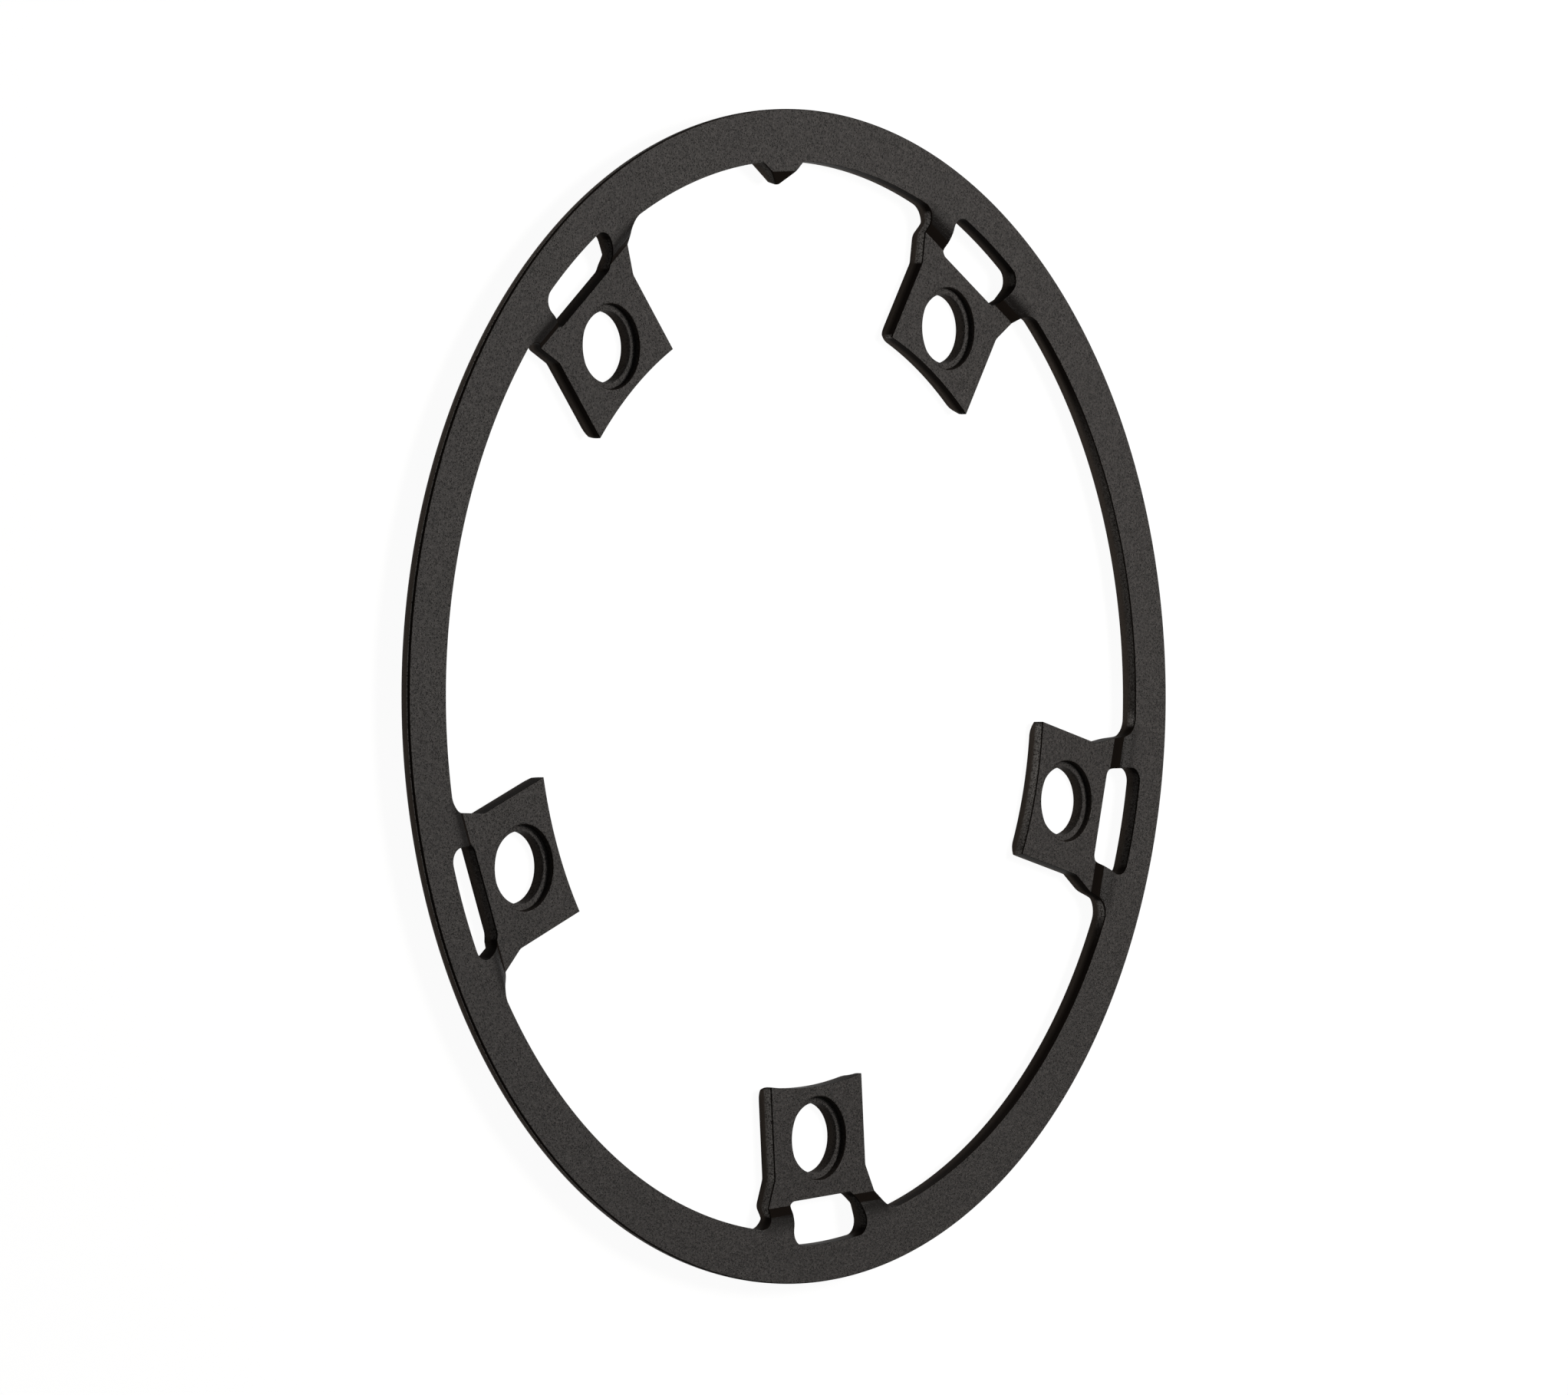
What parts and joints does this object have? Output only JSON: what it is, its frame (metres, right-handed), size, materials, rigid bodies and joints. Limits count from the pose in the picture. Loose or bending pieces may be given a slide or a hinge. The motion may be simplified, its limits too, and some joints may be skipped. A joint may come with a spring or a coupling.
{
  "type": "chainring guard",
  "caption": "Thin stamped guard ring for a bicycle chainring, with recessed bolt tabs, a slot behind each tab and a small bevelled pointer on its inner edge.",
  "frame": {"origin": "centre of the bolt circle on the plane of the tabs' rear faces", "axes": "+Z out of the ring's front face, +Y from the centre to the pointer, +X completes a right-handed frame"},
  "size_m": [0.1718, 0.1717, 0.0043],
  "materials": {
    "black_coat": "fine-textured satin black coat"
  },
  "bodies": {
    "root": {"chainring_guard": "black_coat"}
  },
  "joints": []
}
